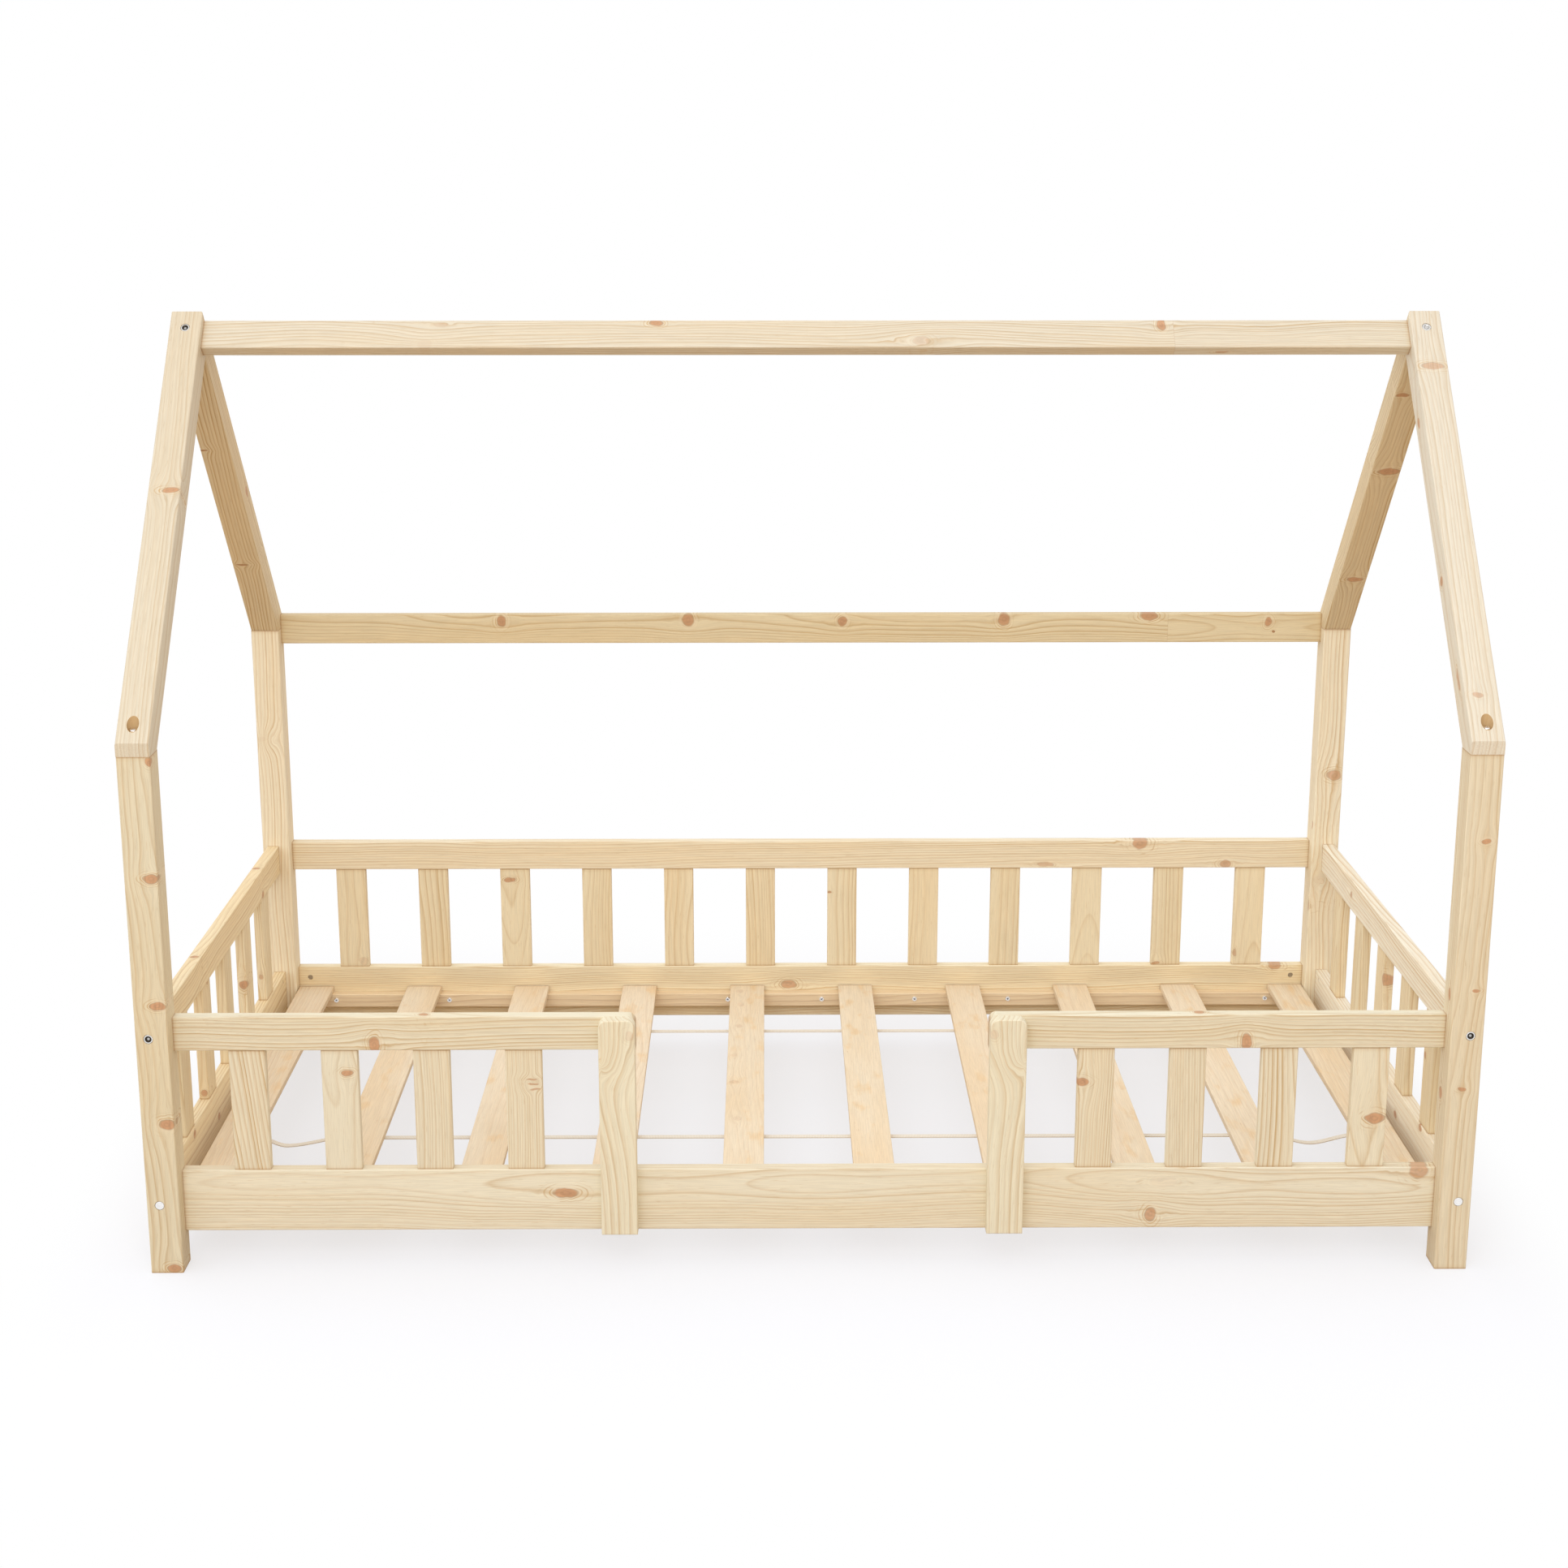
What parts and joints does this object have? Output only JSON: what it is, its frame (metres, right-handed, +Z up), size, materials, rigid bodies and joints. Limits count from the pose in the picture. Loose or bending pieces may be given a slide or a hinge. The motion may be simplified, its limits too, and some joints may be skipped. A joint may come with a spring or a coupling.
{
  "type": "house-frame children's bed",
  "caption": "Low house-shaped wooden bed frame for a small child: posts with a pitched roof frame, guard rails around a front entry gap, and loose slats on ledges.",
  "frame": {"origin": "on the floor under the middle of the frame", "axes": "+X along the bed to the right, +Y towards its rear, +Z up"},
  "size_m": [1.72, 0.866, 1.2085],
  "materials": {
    "pine": "planed, untreated",
    "slat_wood": "planed, untreated",
    "ledge_wood": "planed, untreated",
    "dowel_wood": "fluted beech",
    "bright_steel": "bright plated",
    "zinc_steel": "dull plated",
    "ribbon": "woven"
  },
  "bodies": {
    "frame": {"apex_bolts": "bright_steel", "barrel_nuts": "zinc_steel", "eave_beam": "pine", "eave_screws": "bright_steel", "end_rail_bolts": "bright_steel", "front_base_rail": "pine", "front_ledge": "ledge_wood", "front_left_baluster_1": "pine", "front_left_baluster_2": "pine", "front_left_baluster_3": "pine", "front_left_baluster_4": "pine", "front_left_post": "pine", "front_left_rafter": "pine", "front_left_top_rail": "pine", "front_right_baluster_1": "pine", "front_right_baluster_2": "pine", "front_right_baluster_3": "pine", "front_right_baluster_4": "pine", "front_right_post": "pine", "front_right_rafter": "pine", "front_right_top_rail": "pine", "ledge_screws": "bright_steel", "left_base_rail": "pine", "left_end_balusters": "pine", "left_entry_stile": "pine", "left_top_rail": "pine", "long_rail_bolts": "bright_steel", "rail_dowels": "dowel_wood", "rear_balusters": "pine", "rear_base_rail": "pine", "rear_ledge": "ledge_wood", "rear_left_post": "pine", "rear_left_rafter": "pine", "rear_right_post": "pine", "rear_right_rafter": "pine", "rear_top_rail": "pine", "ridge_beam": "pine", "right_base_rail": "pine", "right_end_balusters": "pine", "right_entry_stile": "pine", "right_top_rail": "pine", "stile_screws": "bright_steel"},
    "slat_base": {"slat_1": "slat_wood", "slat_10": "slat_wood", "slat_2": "slat_wood", "slat_3": "slat_wood", "slat_4": "slat_wood", "slat_5": "slat_wood", "slat_6": "slat_wood", "slat_7": "slat_wood", "slat_8": "slat_wood", "slat_9": "slat_wood", "slat_staples": "zinc_steel", "front_ribbon": "ribbon", "rear_ribbon": "ribbon"}
  },
  "joints": [
    {"name": "slat_base_lift", "type": "slide", "parent": "frame", "child": "slat_base", "axis": [0, 0, 1], "range_m": [0, 0.3]}
  ]
}
